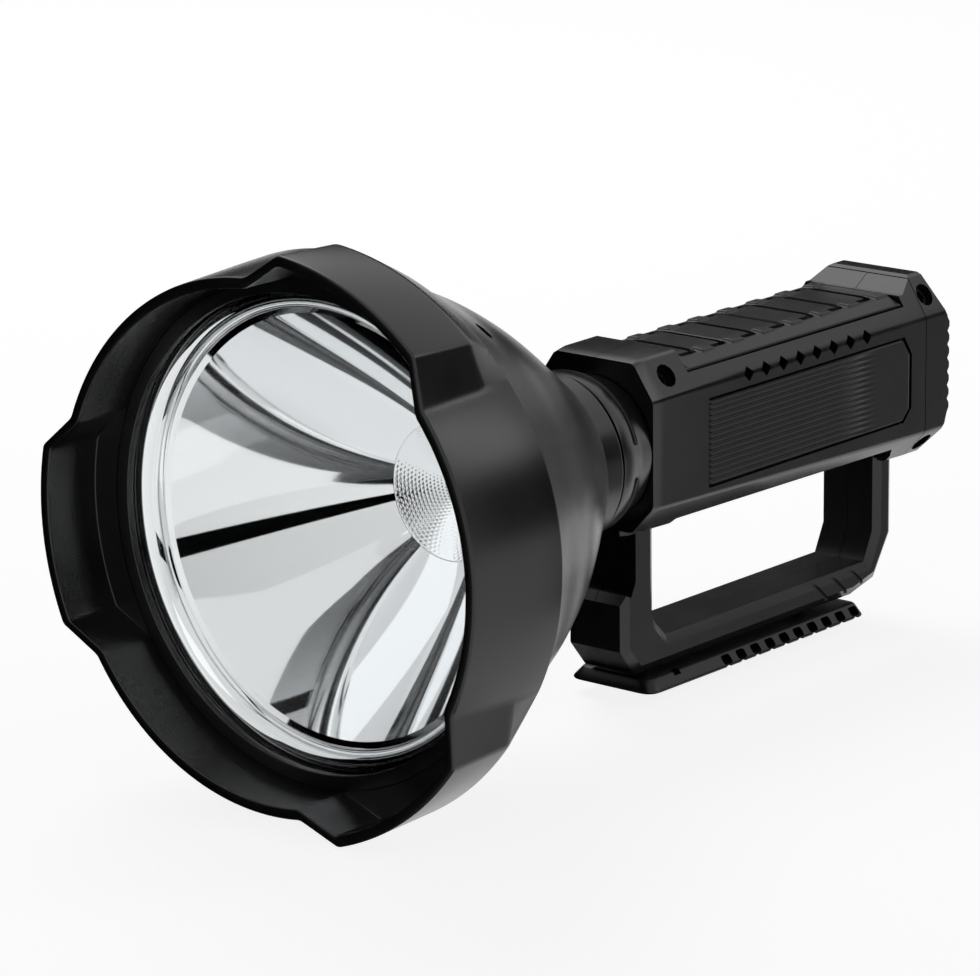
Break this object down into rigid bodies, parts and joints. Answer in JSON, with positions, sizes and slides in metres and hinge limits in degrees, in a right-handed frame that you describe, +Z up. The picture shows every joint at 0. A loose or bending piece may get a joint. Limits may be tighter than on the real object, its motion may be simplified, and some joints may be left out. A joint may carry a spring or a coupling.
{
  "type": "hand-held searchlight",
  "caption": "Hand-held LED searchlight with a lobed hood, a deep chrome reflector in a conical bell, and a ribbed loop handle with a foot rail.",
  "frame": {"origin": "on the foot rail's flat underside, between its third and fourth tread notch from the front", "axes": "+Y along the lamp from the hood to the rear cap, +X to its right, +Z up"},
  "size_m": [0.1427, 0.2617, 0.1441],
  "materials": {
    "black_plastic": "satin moulded",
    "black_rubber": "matte",
    "chrome_film": "polished",
    "clear_lens": "polished",
    "dark_steel": "blackened",
    "bare_alloy": "machined",
    "circuit_board": "solder mask",
    "light_chip": "cast",
    "cell_sleeve": "shrink film"
  },
  "bodies": {
    "light": {"hood": "black_plastic", "lens_bezel": "black_plastic", "lens": "clear_lens", "lens_seal": "black_rubber", "reflector": "chrome_film", "led_cup": "chrome_film", "led_board": "circuit_board", "led_emitter": "light_chip", "heat_sink": "bare_alloy", "bell": "black_plastic", "neck_tube": "bare_alloy", "neck_seal": "black_rubber", "neck_collar": "black_plastic", "handle_shell_left": "black_plastic", "handle_shell_right": "black_plastic", "side_panel_left": "black_rubber", "side_panel_right": "black_rubber", "top_pad": "black_rubber", "rear_cap": "black_plastic", "battery_cell_1": "cell_sleeve", "battery_cell_2": "cell_sleeve", "driver_board": "circuit_board", "power_switch": "black_plastic", "charge_port": "bare_alloy", "flap_pin": "dark_steel", "foot_rail": "black_rubber", "bell_screw_1": "dark_steel", "bell_screw_2": "dark_steel", "bell_screw_3": "dark_steel", "front_screw_1": "dark_steel", "front_screw_2": "dark_steel", "cap_screw_1": "dark_steel", "cap_screw_2": "dark_steel", "cap_screw_3": "dark_steel", "cap_screw_4": "dark_steel", "foot_screw_1": "dark_steel", "foot_screw_2": "dark_steel"},
    "button": {"power_button": "black_rubber"},
    "flap": {"port_flap": "black_rubber"}
  },
  "joints": [
    {"name": "button_press", "type": "slide", "parent": "light", "child": "button", "axis": [0, -1, 0], "range_m": [0, 0.0012], "stiffness_N_per_m": 800, "springref_m": -0.0008},
    {"name": "flap_turn", "type": "hinge", "parent": "light", "child": "flap", "pos_m": [0, 0.07416, 0.05451], "axis": [-1, 0, 0], "range_deg": [0, 100]}
  ]
}
